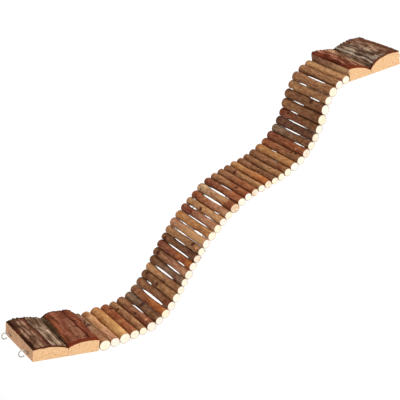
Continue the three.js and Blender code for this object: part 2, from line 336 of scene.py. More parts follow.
def along(points, place):
    """Value at a place of a line through (place, value) points."""
    for (start, before), (end, after) in zip(points, points[1:]):
        if place <= end:
            return before + (after - before) * between(start, end, place)
    return points[-1][1]


def uneven(x, y, z):
    """Smooth noise between -1 and 1."""
    return noise.noise(Vector((x, y, z)))


def chance(point):
    """A fixed random share for a point."""
    return math.sin(point.x * 127.1 + point.y * 311.7) * 43758.5453 % 1


def turns(count):
    """Angles of a whole turn in even steps."""
    return [2 * math.pi * step / count for step in range(count)]


def wrapped(angle):
    """The same angle within half a turn either way."""
    return (angle + math.pi) % (2 * math.pi) - math.pi


# Meshes

def placed(name, data):
    """A new object of the scene."""
    made = bpy.data.objects.new(name, data)
    bpy.context.scene.collection.objects.link(made)
    return made


def mesh_object(name, vertices, faces, materials, face_materials=None, sharp=40):
    """A mesh as an object, with smooth shading up to the sharp angle."""
    mesh = bpy.data.meshes.new(name)
    mesh.from_pydata(vertices, [], faces)
    for material in materials:
        mesh.materials.append(material)
    if face_materials:
        mesh.polygons.foreach_set("material_index", face_materials)
    mesh.shade_smooth()
    mesh.set_sharp_from_angle(angle=math.radians(sharp))
    return placed(name, mesh)


def store_colors(piece, name, colors, domain="POINT"):
    attribute = piece.data.color_attributes.new(name, "FLOAT_COLOR", domain)
    attribute.data.foreach_set("color", [part for color in colors for part in (*color, 1.0)])


def store_values(piece, name, values):
    piece.data.attributes.new(name, "FLOAT", "POINT").data.foreach_set("value", values)


def ring_faces(first, second, sides):
    """Quads between two rings of vertices, the second farther along the axis the sides turn round."""
    quads = []
    for side in range(sides):
        after = (side + 1) % sides
        quads.append((first + side, first + after, second + after, second + side))
    return quads


def tube_faces(first, rings, sides):
    """Faces of a closed tube of rings of vertices."""
    last = first + (rings - 1) * sides
    faces = [tuple(reversed(range(first, first + sides))), tuple(range(last, last + sides))]
    for start in range(first, last, sides):
        faces += ring_faces(start, start + sides, sides)
    return faces


def stands_in(piece, body, node_name):
    """Lets a piece ride on a body in place of its CAD solid."""
    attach(piece, body)
    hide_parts(node_name)


# Materials

def painted(paint):
    """A new material, whose nodes a function of the same name makes."""
    material = bpy.data.materials.new(paint.__name__)
    material.use_nodes = True
    material.node_tree.nodes.clear()
    paint(material.node_tree)
    return material


def node(tree, kind, inputs=None, **settings):
    """A shader node with its settings, and its inputs as values or as sockets to link from."""
    made = tree.nodes.new(kind)
    for key, value in settings.items():
        setattr(made, key, value)
    for key, value in (inputs or {}).items():
        if isinstance(value, bpy.types.NodeSocket):
            tree.links.new(value, made.inputs[key])
        else:
            made.inputs[key].default_value = value
    return made


def worked_out(tree, operation, *values):
    """A value worked out from others."""
    return node(tree, "ShaderNodeMath", dict(enumerate(values)), operation=operation).outputs[0]


def stored(tree, name, output="Color"):
    """What the mesh stores under a name."""
    return node(tree, "ShaderNodeAttribute", attribute_name=name).outputs[output]


def ramp(tree, source, *stops):
    """A colour ramp through (place, grey) or (place, colour) stops."""
    made = node(tree, "ShaderNodeValToRGB", {"Fac": source})
    elements = made.color_ramp.elements
    while len(elements) < len(stops):
        elements.new(0.5)
    for element, (place, color) in zip(elements, stops):
        element.position = place
        element.color = (*color, 1) if isinstance(color, (tuple, Vector)) else (color, color, color, 1)
    return made.outputs["Color"]


def grain(tree, across, along_it, detail, roughness=0.6):
    """Noise on the object with its own fineness across the twigs or the log and along them."""
    place = node(tree, "ShaderNodeTexCoord").outputs["Object"]
    finer = node(tree, "ShaderNodeMapping", {"Vector": place, "Scale": (across, along_it, across)})
    inputs = {"Vector": finer.outputs["Vector"], "Scale": 1.0, "Detail": detail, "Roughness": roughness}
    return node(tree, "ShaderNodeTexNoise", inputs).outputs["Fac"]


def growth_rings(tree, distance, waver, sway, count):
    """A wave that comes back at every growth ring, at a distance from the middle."""
    bent = worked_out(tree, "MULTIPLY_ADD", waver, sway, distance)
    return worked_out(tree, "SINE", worked_out(tree, "MULTIPLY", bent, count))


def shaded(tree, color, source, *stops):
    """The colour times a ramp."""
    inputs = {"Factor": 1, "A": color, "B": ramp(tree, source, *stops)}
    return node(tree, "ShaderNodeMix", inputs, data_type="RGBA", blend_type="MULTIPLY").outputs["Result"]


def inked(tree, color, code, source, *stops):
    """The colour with a plain one over it, as far as a ramp says."""
    inputs = {"Factor": ramp(tree, source, *stops), "A": color, "B": (*linear(code), 1)}
    return node(tree, "ShaderNodeMix", inputs, data_type="RGBA").outputs["Result"]


def surface(tree, color, source, roughness, height, bump, distance, specular=0.3, metallic=0.0):
    """Ends a material with its shader and bump: a source turns one roughness into the other."""
    relief = node(tree, "ShaderNodeBump", {"Height": height, "Strength": bump, "Distance": distance})
    shader = node(tree, "ShaderNodeBsdfPrincipled", {
        "Base Color": color,
        "Roughness": ramp(tree, source, (0.3, roughness[0]), (0.7, roughness[1])),
        "Specular IOR Level": specular,
        "Metallic": metallic,
        "Normal": relief.outputs["Normal"],
    })
    node(tree, "ShaderNodeOutputMaterial", {"Surface": shader.outputs["BSDF"]})


def twig_bark(tree):
    """Thin bark: its own colour with streaks along the twig, flecks and small pale pores."""
    streaks = grain(tree, 1400, 160, detail=5)
    flecks = grain(tree, 1900, 900, detail=3, roughness=0.7)
    pores = grain(tree, 1100, 620, detail=1)
    color = shaded(tree, stored(tree, "Bark"), streaks, (0.3, 0.84), (0.5, 1.0), (0.72, 1.12))
    color = shaded(tree, color, flecks, (0.28, 0.82), (0.42, 1.0), (0.75, 1.08))
    color = inked(tree, color, "#B99A7C", pores, (0.7, 0.0), (0.76, 0.3))
    height = worked_out(tree, "ADD", streaks, flecks)
    surface(tree, color, streaks, (0.9, 0.68), height, 0.45, 0.3 * MM, specular=0.12)


def twig_cut(tree):
    """Pale sawn end with a rim of bark: faint growth rings round a small pith, and coarse fibres."""
    radius = stored(tree, "Radius", "Fac")
    wave = growth_rings(tree, radius, grain(tree, 420, 10, detail=2), 0.35, 34.0)
    fibres = grain(tree, 2600, 300, detail=4, roughness=0.7)
    color = shaded(tree, stored(tree, "Cut"), wave, (0.2, 1.0), (0.95, 0.92))
    color = shaded(tree, color, radius, (0.04, (0.72, 0.56, 0.4)), (0.1, 1.0))
    color = inked(tree, color, "#8C6040", radius, (0.93, 0.0), (0.97, 0.8))
    color = shaded(tree, color, fibres, (0.32, 0.84), (0.55, 1.0))
    surface(tree, color, fibres, (0.85, 0.7), fibres, 0.35, 0.2 * MM)


def slab_bark(tree):
    """Thick bark: its own colour, broken up by threads along the log and by grit."""
    threads = grain(tree, 1500, 190, detail=6, roughness=0.7)
    grit = grain(tree, 1500, 1300, detail=4, roughness=0.75)
    color = shaded(tree, stored(tree, "Bark"), threads, (0.3, 0.74), (0.5, 1.0), (0.7, 1.2))
    color = shaded(tree, color, grit, (0.3, 0.76), (0.5, 1.0), (0.72, 1.14))
    height = worked_out(tree, "ADD", threads, grit)
    surface(tree, color, grit, (0.95, 0.76), height, 0.8, 0.5 * MM, specular=0.05)


def slab_wood(tree):
    """Sawn wood: growth rings round the log's middle, which show as arcs on the sawn ends and as
    long lines on the sides, with pores and specks."""
    waver = grain(tree, 90, 14, detail=3)
    wave = growth_rings(tree, stored(tree, "Rings", "Fac"), waver, 2.2, 2 * math.pi)
    pores = grain(tree, 1500, 110, detail=5, roughness=0.75)
    specks = grain(tree, 700, 260, detail=3, roughness=0.75)
    color = shaded(tree, stored(tree, "Wood"), wave, (0.1, 1.0), (0.6, 0.97), (1.0, 0.88))
    color = shaded(tree, color, pores, (0.3, 0.74), (0.44, 0.97), (0.7, 1.05))
    color = inked(tree, color, "#A0683C", specks, (0.38, 0.8), (0.47, 0.0))
    surface(tree, color, pores, (0.85, 0.68), pores, 0.3, 0.3 * MM)


def bore_wood(tree):
    """Dark wood in the mouth of a bore: painted shade in the recess round the wire."""
    fibres = grain(tree, 900, 900, detail=3)
    color = ramp(tree, fibres, (0.3, linear("#3A2013")), (0.7, linear("#6E4228")))
    surface(tree, color, fibres, (0.95, 0.85), fibres, 0.4, 0.3 * MM)


def wire_steel(tree):
    """Dull galvanised steel with a few darker spots."""
    spots = grain(tree, 900, 900, detail=4, roughness=0.7)
    color = ramp(tree, spots, (0.3, linear("#8A8782")), (0.5, linear("#B9B7B2")), (0.7, linear("#D2D0CB")))
    surface(tree, color, spots, (0.55, 0.34), spots, 0.15, 0.1 * MM, specular=0.5, metallic=1.0)


def studio_floor(tree):
    cloud = grain(tree, 1, 1, detail=2)
    color = ramp(tree, cloud, (0.3, FLOOR_SHARE - 0.01), (0.7, FLOOR_SHARE))
    surface(tree, color, cloud, (0.9, 0.9), cloud, 0.0, MM)


# Camera and studio

def make_camera():
    ahead = Vector((
        math.cos(CAMERA_ELEVATION) * math.sin(CAMERA_AZIMUTH),
        math.cos(CAMERA_ELEVATION) * math.cos(CAMERA_AZIMUTH),
        -math.sin(CAMERA_ELEVATION),
    ))
    level = Vector((math.cos(CAMERA_AZIMUTH), -math.sin(CAMERA_AZIMUTH), 0))
    right = Matrix.Rotation(-CAMERA_ROLL, 3, ahead) @ level
    turn = Matrix((right, right.cross(ahead), -ahead)).transposed()
    data = bpy.data.cameras.new("camera")
    data.sensor_width = SENSOR_WIDTH
    data.lens = FOCAL_LENGTH
    data.clip_end = CLIP_END
    camera = placed("camera", data)
    camera.matrix_world = Matrix.Translation(CAMERA_TARGET - ahead * CAMERA_DISTANCE) @ turn.to_4x4()
    bpy.context.scene.camera = camera


def make_key_light():
    data = bpy.data.lights.new("key_light", "AREA")
    data.size = KEY_SIZE
    data.energy = KEY_POWER
    light = placed("key_light", data)
    light.location = CAMERA_TARGET + KEY_WAY * KEY_DISTANCE
    light.rotation_euler = KEY_WAY.to_track_quat("Z", "Y").to_euler()


def make_world():
    """White all round, brighter towards one side, as between large soft boxes."""
    world = bpy.data.worlds.new("studio")
    world.use_nodes = True
    tree = world.node_tree
    way = node(tree, "ShaderNodeTexCoord").outputs["Generated"]
    toward = node(tree, "ShaderNodeVectorMath", {0: way, 1: KEY_WAY}, operation="DOT_PRODUCT")
    facing = worked_out(tree, "MAXIMUM", toward.outputs["Value"], 0.0)
    light = worked_out(tree, "MULTIPLY_ADD", facing, WORLD_BRIGHT, WORLD_DIM)
    background = tree.nodes["Background"]
    background.inputs["Color"].default_value = (1, 1, 1, 1)
    tree.links.new(light, background.inputs["Strength"])
    bpy.context.scene.world = world


def make_studio():
    bpy.context.scene.view_settings.view_transform = "Standard"
    make_world()
    make_key_light()
    half = FLOOR_SIZE / 2
    corners = [(x, y, FLOOR_HEIGHT) for x, y in ((-half, -half), (half, -half), (half, half), (-half, half))]
    floor = mesh_object("studio_floor", corners, [(0, 1, 2, 3)], [painted(studio_floor)])


# Twigs

class Twig:
    """Place, size and bark of one twig, read from the hinges at both sides of it and from its solid."""

    def __init__(self, index):
        before = Vector(frame["joints"][index - 1]["pos_m"])
        after = Vector(frame["joints"][index]["pos_m"])
        self.index = index
        self.name = TWIG_NAMES[index - 1]
        self.random = random.Random(index)
        self.hinges = (before, after)
        self.middle = (before + after) / 2
        self.heading = math.atan2(after.z - before.z, after.x - before.x)
        self.room = (after - before).length / 2
        self.near = self.end_radius(-1)
        self.far = self.end_radius(1)
        self.marks = [mark for mark in map(Mark._make, TWIG_MARKS) if mark.twig == index]
        self.oval_turn = self.random.uniform(0, math.pi)
        self.sway = [self.random.uniform(-1, 1) for _ in range(2)]
        self.bud_rings = [self.random.uniform(0.08, 0.92) for _ in range(self.random.randint(1, 3))]
        self.change = self.random.uniform(0.4, 0.6)

    def end_radius(self, side):
        """Radius of the solid at its near end, -1, or far end, 1."""
        least = 0.9 * HALF_WIDTH
        spots = [v.co - self.middle for v in frame["nodes"][self.name].data.vertices]
        return max(math.hypot(s.x, s.z) for s in spots if s.y * side > least)

    def solid_radius(self, share):
        """Radius of the solid at a share of the length."""
        return self.near + (self.far - self.near) * share

    def seeded(self, x, y, z):
        """A place in the noise that is the twig's own."""
        return Vector((x + TWIG_SEED * self.index, y, z))

    def seeded_round(self, turn, share, round_it, along_it):
        """The same for a place on the bark, by how fine the noise is round the twig and along it."""
        return self.seeded(math.cos(turn) * round_it, share * along_it, math.sin(turn) * round_it)


def mark_distance(mark, share, turn, radius):
    """Distance on the bark from a mark, as a share of the mark's size."""
    sideways = radius * wrapped(turn - math.radians(mark.degrees))
    lengthways = (share - mark.place) * WIDTH
    if mark.kind in ("stain", "peel"):
        lengthways *= LONG_MARK_SHARE
    return math.hypot(sideways, lengthways) / (mark.size * MM)


def mark_height(mark, distance):
    """Millimetres by which a mark stands out of the bark at a distance from its middle."""
    if mark.kind == "peel":
        return -PEEL_DEPTH * (1 - smooth(0.8, 1.0, distance))
    shapes = MARK_KINDS[mark.kind].shapes
    return mark.size * sum(high * math.exp(-(distance / reach) ** steep) for high, reach, steep in shapes)


def slit_width(index, share):
    """Width of the slit above a twig at a share of the length."""
    width = 0.0
    for start, end, widest in SLITS.get(index, ()):
        arch = math.sin(math.pi * between(start, end, share))
        width = max(width, widest * MM * arch ** SLIT_BLUNT)
    return width


def twig_reaches(twig, share):
    """How far the twig reaches towards the twig below it and towards the one above."""
    most = min(twig.room - TOUCH, twig.solid_radius(share) + SWELL)
    reaches = []
    for index in (twig.index - 1, twig.index):
        waver = WAVER * abs(uneven(share * 5, 3.1 * index, 0.7))
        reaches.append(most - waver - slit_width(index, share) / 2)
    return reaches


def twig_radius(twig, share):
    """Plain radius along the deck."""
    return sum(twig_reaches(twig, share)) / 2


def twig_middle(twig, share):
    """Middle line: it gives way to the slits, and rises and falls across the deck."""
    below, above = twig_reaches(twig, share)
    ahead = (above - below) / 2
    single, double = math.sin(math.pi * share), math.sin(2 * math.pi * share)
    up = RISE * (0.8 * twig.sway[0] * single + 0.5 * twig.sway[1] * double)
    cos, sin = math.cos(twig.heading), math.sin(twig.heading)
    return Vector((ahead * cos - up * sin, 0, ahead * sin + up * cos))


def pressed(twig, share, turn):
    """Radius at an angle round the twig: an oval, pressed where its neighbours are."""
    wide = twig_radius(twig, share)
    high = (wide + twig.solid_radius(share)) / 2
    lean = turn - twig.heading
    return wide * high / math.hypot(high * math.cos(lean), wide * math.sin(lean))


def mouths_depth(twig, turn, radius, y):
    """How deep the mouths of the bores lie in the bark at a place."""
    depth = 0.0
    for mouth in (twig.heading, twig.heading + math.pi):
        for side in (-WIRE_SIDE, WIRE_SIDE):
            distance = math.hypot(wrapped(turn - mouth) * radius, y - side) / BORE_MOUTH
            depth += BORE_DEPTH * math.exp(-distance ** 4)
    return depth


def twig_point(twig, share, turn):
    """A point of the bark: share of the length from the near end, and angle round the twig."""
    y = (2 * share - 1) * HALF_WIDTH
    radius = pressed(twig, share, turn)
    slow = noise.noise(twig.seeded(share * LUMP_WAVES, 5.1, 0.3))
    swell = LUMP_SHARE * (slow + 0.4) + OVAL_SHARE * math.cos(2 * (turn - twig.oval_turn))
    spot = twig.seeded_round(turn, share, *RIDGE_WAVES)
    height = RIDGE * sum(high * noise.noise(spot * finer) for finer, high in RIDGE_SIZES)
    for place in twig.bud_rings:
        height += BUD_RING * math.exp(-((share - place) * WIDTH / BUD_RING_WIDTH) ** 2)
    for mark in twig.marks:
        height += mark_height(mark, mark_distance(mark, share, turn, radius)) * MM
    height -= mouths_depth(twig, turn, radius, y)
    inwards = 1 - min(min(share, 1 - share) * WIDTH / ROUNDED_EDGE, 1)
    rounding = ROUNDED_EDGE * (1 - math.sqrt(max(0, 1 - inwards ** 2)))
    radius = radius * (1 + swell) + height - rounding
    around = Vector((radius * math.cos(turn), y, radius * math.sin(turn)))
    return kept_in_room(twig, around + twig_middle(twig, share))


def set_walls(twigs, lower, upper):
    """Gives each twig the planes that it stays behind, to clear its neighbours however a hinge bends."""
    headings = [lower.heading, *[twig.heading for twig in twigs], upper.heading]
    for twig in twigs:
        twig.walls = []
        for hinge, side in zip(twig.hinges, (-1, 1)):
            neighbour = twig.index + side
            for bend in (-BEND, BEND):
                if neighbour in (0, len(twigs) + 1):
                    lean, room = headings[neighbour] + bend, TWIG_GAP / 2
                else:
                    lean, room = (twig.heading + headings[neighbour] + bend) / 2, 0.0
                way = Vector((math.cos(lean), 0, math.sin(lean))) * side
                twig.walls.append((hinge + way * (room - TOUCH), way))


def kept_in_room(twig, offset):
    """A place off the twig's middle, drawn back where it comes too near the next twig or too low."""
    place = twig.middle + offset
    for corner, way in twig.walls:
        beyond = (place - corner).dot(way)
        if beyond > 0:
            place -= way * beyond
    place.z = max(place.z, cad_box[0].z)
    return place


def marked(twig, color, share, turn, spot):
    """The colour of the bark under the twig's marks, whose rims waver."""
    radius = twig_radius(twig, share)
    for mark in twig.marks:
        kind = MARK_KINDS[mark.kind]
        distance = mark_distance(mark, share, turn, radius) * (1 + 0.25 * noise.noise(spot * 6))
        ink = linear(kind.color)
        if mark.kind == "knot":
            ink = linear(KNOT_HEART_COLOR).lerp(ink, smooth(0.0, 0.25, distance))
        color = color.lerp(ink, kind.most * (1 - smooth(kind.core, 1.2, distance)))
    return color


def twig_color(twig, share, turn):
    """Colour of the bark at a place, with painted light above and below and painted shade where it lies against
    its neighbours.
    """
    near_kind, far_kind = TWIG_BARKS[twig.index - 1].split("-")
    spot = twig.seeded_round(turn, share, *COLOR_WAVES)
    middle, blur = PEELED_SHARES if near_kind == "peel" else (twig.change, BARK_BLUR_SHARE)
    to_far = smooth(middle - blur, middle + blur, share + 0.3 * noise.noise(spot))
    ground, light = [linear(near).lerp(linear(far), to_far)
                     for near, far in zip(BARKS[near_kind], BARKS[far_kind])]
    color = ground.lerp(light, smooth(-0.25, 0.35, noise.noise(spot * 1.9 + Vector((0, 9.1, 0)))))
    color *= 1 + 0.2 * noise.noise(spot * 3.1 + Vector((4.4, 0, 0)))
    color = marked(twig, color, share, turn, spot)
    color *= 0.72 + 0.28 * smooth(0, END_DARK, min(share, 1 - share) * WIDTH)
    # painted shade on the sides that face the neighbouring twigs, painted light above and below
    shaded_side = math.cos(turn - twig.heading) ** 6
    return Vector([part * (PAINTED_TOP_LIGHT - dark * shaded_side) for part, dark in zip(color, PAINTED_SIDE_SHADE)])


def twig_shares():
    """Places of the rings, closer together at both ends."""
    edge = ROUNDED_EDGE / WIDTH
    inner = [edge * 1.6 + (1 - 3.2 * edge) * i / (TWIG_RINGS - 1) for i in range(TWIG_RINGS)]
    return [0, edge * 0.15, edge * 0.5, edge, *inner, 1 - edge, 1 - edge * 0.5, 1 - edge * 0.15, 1]


def twig_cap(rim, side, vertices, cut_places):
    """Rings of a sawn end inwards from its rim, down to one vertex. Each ring's first index."""
    middle = sum(rim, Vector()) / len(rim)
    starts = []
    for share in CAP_SHARES:
        starts.append(len(vertices))
        for spot in rim:
            place = middle.lerp(spot, share)
            depth = abs(noise.noise(place * SAW_LINES)) * SAW_MARK
            vertices.append(place - Vector((0, side * depth, 0)))
            cut_places.append(share)
    starts.append(len(vertices))
    vertices.append(middle)
    cut_places.append(0.0)
    return starts


def cut_colors(twig, vertices):
    """Colours of the sawn ends: creamier or greyer from twig to twig, with darker smears."""
    dark = CUT_DARK_SHARES.get(twig.index, twig.random.uniform(0, 0.12))
    plain = linear(CUT_COLOR).lerp(linear(CUT_GREY_COLOR), twig.random.uniform(0, 0.9))
    colors = []
    for place in vertices:
        smear = noise.noise(twig.seeded(*(place / SMEAR_SIZE)))
        share = dark * (1 + 0.9 * smear) + SMEAR_SHARE * max(smear, 0)
        colors.append(plain.lerp(linear(CUT_DARK_COLOR), min(share, 1)))
    return colors


def make_twig(twig, bark, cut):
    places = [(share, turn) for share in twig_shares() for turn in turns(TWIG_SIDES)]
    vertices = [twig_point(twig, share, turn) for share, turn in places]
    colors = [twig_color(twig, share, turn) for share, turn in places]
    last = len(vertices) - TWIG_SIDES
    faces = []
    for start in range(0, last, TWIG_SIDES):
        faces += ring_faces(start + TWIG_SIDES, start, TWIG_SIDES)
    bark_faces = len(faces)
    cut_places = [1.0] * len(vertices)
    for rim_start, side in ((0, -1), (last, 1)):
        rim = vertices[rim_start:rim_start + TWIG_SIDES]
        *starts, center = twig_cap(rim, side, vertices, cut_places)
        rings = [rim_start, *starts]
        for outer, inner in zip(rings, rings[1:]):
            first, second = (inner, outer) if side > 0 else (outer, inner)
            faces += ring_faces(first, second, TWIG_SIDES)
        for step in range(TWIG_SIDES):
            here, there = rings[-1] + step, rings[-1] + (step + 1) % TWIG_SIDES
            faces.append((center, there, here) if side > 0 else (center, here, there))
    kinds = [0] * bark_faces + [1] * (len(faces) - bark_faces)
    piece = mesh_object(f"{twig.name}_wood", vertices, faces, [bark, cut], kinds)
    colors += [linear(CUT_COLOR)] * (len(vertices) - len(colors))
    store_colors(piece, "Bark", colors)
    store_colors(piece, "Cut", cut_colors(twig, vertices))
    store_values(piece, "Radius", cut_places)
    stands_in(piece, twig.name, twig.name)


# Wires and hooks

def tube(name, runs, material):
    """Wires along points that lie in upright planes across Y, closed at both ends by low domes."""
    vertices, faces = [], []
    for points in runs:
        first = len(vertices)
        ahead = [(after - before).normalized() for before, after in zip(points, points[1:])]
        ways = [ahead[0], *[(a + b).normalized() for a, b in zip(ahead, ahead[1:])], ahead[-1]]
        rings = [(points[0] - ways[0] * DOME_HEIGHT, ways[0], DOME_SHARE)]
        rings += [(point, way, 1.0) for point, way in zip(points, ways)]
        rings.append((points[-1] + ways[-1] * DOME_HEIGHT, ways[-1], DOME_SHARE))
        for point, way, share in rings:
            up = Vector((-way.z, 0, way.x))
            for turn in turns(WIRE_SIDES):
                out = up * math.sin(turn) + Vector((0, math.cos(turn), 0))
                vertices.append(point + out * WIRE_RADIUS * share)
        faces += tube_faces(first, len(rings), WIRE_SIDES)
    return mesh_object(name, vertices, faces, [material], sharp=60)


def wire_line(before, bend, after, side):
    """A wire from one link's middle to the next one's, with a small even bend between the links."""
    near = (before - bend).normalized() * WIRE_BEND
    far = (after - bend).normalized() * WIRE_BEND
    points = [before, bend + near * 2]
    for step in range(WIRE_BEND_STEPS + 1):
        share = step / WIRE_BEND_STEPS
        points.append(bend + near * (1 - share) ** 2 + far * share ** 2)
    points += [bend + far * 2, after]
    return [point + Vector((0, side, 0)) for point in points]


def make_wires(material, middles):
    """One piece of both wires across each hinge, with a small bend at the hinge."""
    for index, joint in enumerate(frame["joints"]):
        bend = Vector(joint["pos_m"])
        before, after = middles[index], middles[index + 1]
        runs = [wire_line(before, bend, after, side) for side in (-WIRE_SIDE, WIRE_SIDE)]
        piece = tube(f"wires_{index + 1:02d}", runs, material)
        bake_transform(piece)
        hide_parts("wire_near", "wire_far")


def hook_line(platform, side):
    """The stiff end of a wire: straight through the platform, then round the open loop."""
    outward, up, radius = platform.outward, platform.up, platform.loop_radius
    middle = platform.hook_middle
    start = platform.inner_end + outward * STIFF_END_DEPTH
    points = [start, middle - outward * (radius / math.cos(LOOP_START) + radius * 0.25)]
    first = math.pi - LOOP_START
    sweep = 2 * math.pi - LOOP_START + LOOP_END
    for step in range(LOOP_STEPS + 1):
        turn = first - sweep * step / LOOP_STEPS
        points.append(middle + outward * radius * math.cos(turn) + up * radius * math.sin(turn))
    return [point + Vector((0, side, 0)) for point in points]


def make_hooks(platform, material):
    for name, side in (("near", -WIRE_SIDE), ("far", WIRE_SIDE)):
        node_name = f"{platform.level}_hook_{name}"
        piece = tube(f"{node_name}_wire", [hook_line(platform, side)], material)
        stands_in(piece, platform.body, node_name)


# Platforms

class Platform:
    """Frame of one platform, read from its mounts and solids: a point is given by how far it lies
    outwards from the hinge, how far along the twigs and how far above the line of the wires."""

    def __init__(self, level, joint):
        mounts = {mount["name"]: mount for mount in frame["record"]["mounts"]}
        self.level = level
        self.body = f"{level}_platform"
        self.up = -Vector(mounts[f"{level}_underside"]["axis"]).normalized()
        self.outward = Vector((self.up.z, 0, -self.up.x))
        self.heading = math.atan2(self.outward.z, self.outward.x)
        if level == "lower":
            self.outward.negate()
        self.hinge = Vector(joint["pos_m"])
        loop = [self.local(v.co) for v in frame["nodes"][f"{level}_hook_near"].data.vertices]
        high = max(p.z for p in loop)
        self.inner_end = self.world(min(p.x for p in loop), 0, 0)
        self.hook_middle = self.world(max(p.x for p in loop) - high, 0, 0)
        self.loop_radius = LOOP_SHARE * (high - WIRE_RADIUS)

    def local(self, place):
        offset = place - self.hinge
        return Vector((offset.dot(self.outward), offset.y, offset.dot(self.up)))

    def world(self, out, y, height):
        return self.hinge + self.outward * out + Vector((0, y, 0)) + self.up * height


class Slab:
    """One half-log slab: the outlines of its solid, its wood and its bark."""

    def __init__(self, platform, part):
        self.platform = platform
        self.name = f"{platform.level}_{part}"
        self.node = f"{self.name}_slab"
        self.looks = SLABS[self.name]
        spots = [platform.local(v.co) for v in frame["nodes"][self.node].data.vertices]
        self.start = min(s.x for s in spots)
        self.width = max(s.x for s in spots) - self.start
        self.bottom = min(s.z for s in spots)
        self.near_outline = self.solid_outline(spots, -1)
        self.far_outline = self.solid_outline(spots, 1)
        self.free_share = 0 if part == "inner" else 1  # of the width, away from the other slab

    def solid_outline(self, spots, side):
        """Height of the solid's top over its width, from the points of its near, -1, or far, 1, end."""
        tops = {}
        for spot in spots:
            if spot.y * side > HALF_WIDTH - WOOD_EDGE / 4:
                share = round((spot.x - self.start) / self.width, 4)
                tops[share] = max(tops.get(share, 0), spot.z - self.bottom)
        return sorted(tops.items())

    def top(self, share, y):
        """Height of the highest bark over the underside."""
        far = (y / HALF_WIDTH + 1) / 2
        if self.name == "lower_inner":
            step = smooth(-SHOULDER_LENGTH / 2, SHOULDER_LENGTH / 2, y)
            edge = 1 - smooth(SHOULDER_SHARE * 0.6, SHOULDER_SHARE, share)
            far += (step - far) * edge
        return along(self.near_outline, share) * (1 - far) + along(self.far_outline, share) * far

    def wood_height(self, share, y):
        """Height of the wood over the underside."""
        sway = WOOD_SWAY * uneven(share * 12, y * 60, self.looks.seed)
        return self.top(share, y) - self.looks.bark * MM + sway * smooth(0, 0.12, min(share, 1 - share))

    def strip(self, share, y):
        """The strip of bark at a place, its number, and the shares where it starts and ends."""
        far = (y / HALF_WIDTH + 1) / 2
        start = 0.0
        for number, strip in enumerate(self.looks.strips):
            end = strip.near + (strip.far - strip.near) * far
            if share <= end:
                break
            start = end
        return strip, number, start, end


# What the bark is at a place: number of its strip, share by which the next strip's colour shows, how
# deep it lies, shares of plate, of the plate's level and of the bare border, and coarse and fine threads
BarkState = namedtuple("BarkState", "number after depth plate level border strand fine")


def plate_at(across, deep, slimness):
    """How far a place lies inside the plate that holds it, from 0 at its rim to 1 at its middle, and a
    fixed random share for that plate. Plates stand in rows, slimness times as long as they are wide."""
    row = math.floor(across)
    deep += chance(Vector((row, 0.37, 0)))
    cell = math.floor(deep)
    sideways = abs(2 * (across - row) - 1)
    lengthways = max(0, 1 - slimness * (1 - abs(2 * (deep - cell) - 1)))
    return 1 - min((sideways ** 3 + lengthways ** 3) ** (1 / 3), 1), chance(Vector((row, cell, 0)))


def waves(kinds, out, deep, seed, shift=0.0):
    """Sum of some waves of smooth noise at a place on the bark."""
    return sum(high * uneven(out / wide + shift, deep / long, seed + more)
               for wide, long, more, high in kinds)


def bark_state(slab, share, y):
    looks, seed = slab.looks, slab.looks.seed
    out, deep = share * slab.width / MM, y / MM
    sway = SWAY * waves(SWAY_WAVES, out, deep, seed)
    place = share + sway / slab.width
    strip, number, start, end = slab.strip(place, y)
    across = (place - start) * slab.width / MM / strip.width + 10 * number
    drift = waves(DRIFT_WAVES, out, deep, seed)
    slimness = strip.length / strip.width
    inside, level = plate_at(across, (deep + drift) / strip.length + seed, slimness)
    plate = smooth(0.0, strip.crack_share, inside)
    strand = waves(STRAND_WAVES, out, deep, seed, sway / MM)
    fine = waves(FINE_WAVES, out, deep, seed)
    edge = (y + HALF_WIDTH) / MM * (1 + 0.6 * uneven(out / 3, 0.5, seed))
    border = 1 - smooth(0.75 * looks.border, 1.15 * looks.border, edge)
    depth = strip.fissure * (1 - plate) + strip.sunk + looks.chips * (1 - level)
    depth += looks.ridge * (0.5 - 0.7 * strand) + 0.1 * fine
    depth += (0.7 + 0.2 * fine - depth) * border
    after = 0.5 * smooth(-STRIP_BLUR, 0, (place - end) * slab.width)
    return BarkState(number, after, max(depth, 0) * MM, plate, level, border, strand, fine)


def bark_height(slab, share, y, state):
    least = slab.wood_height(share, y) + LEAST_BARK * (1 + 0.4 * state.fine)
    return max(slab.top(share, y) - state.depth, least)


def bark_color(slab, share, y, state):
    strips = slab.looks.strips
    strip = strips[state.number]
    after = strips[min(state.number + 1, len(strips) - 1)]
    ground = linear(strip.color).lerp(linear(after.color), state.after)
    pale = linear(strip.pale).lerp(linear(after.pale), state.after)
    patch = uneven(share * slab.width / (5 * MM), y / (14 * MM), slab.looks.seed + 4)
    color = ground.lerp(pale, smooth(0.0, 1.0, 0.75 * state.level + 0.6 * state.strand + 0.4 * patch))
    color *= 1 + 0.25 * patch + 0.25 * min(state.strand, 0)
    color = color.lerp(linear(FISSURE_COLOR), FISSURE_SHARE * (1 - state.plate))
    color *= 1 + 0.18 * state.fine
    color = color.lerp(linear(slab.looks.border_color), 0.9 * state.border)
    # painted shade along the far sawn end, where the bark curves away from the light
    return color * (1 - FAR_SHADE_SHARE * smooth(HALF_WIDTH - FAR_SHADE_EDGE, HALF_WIDTH, y))


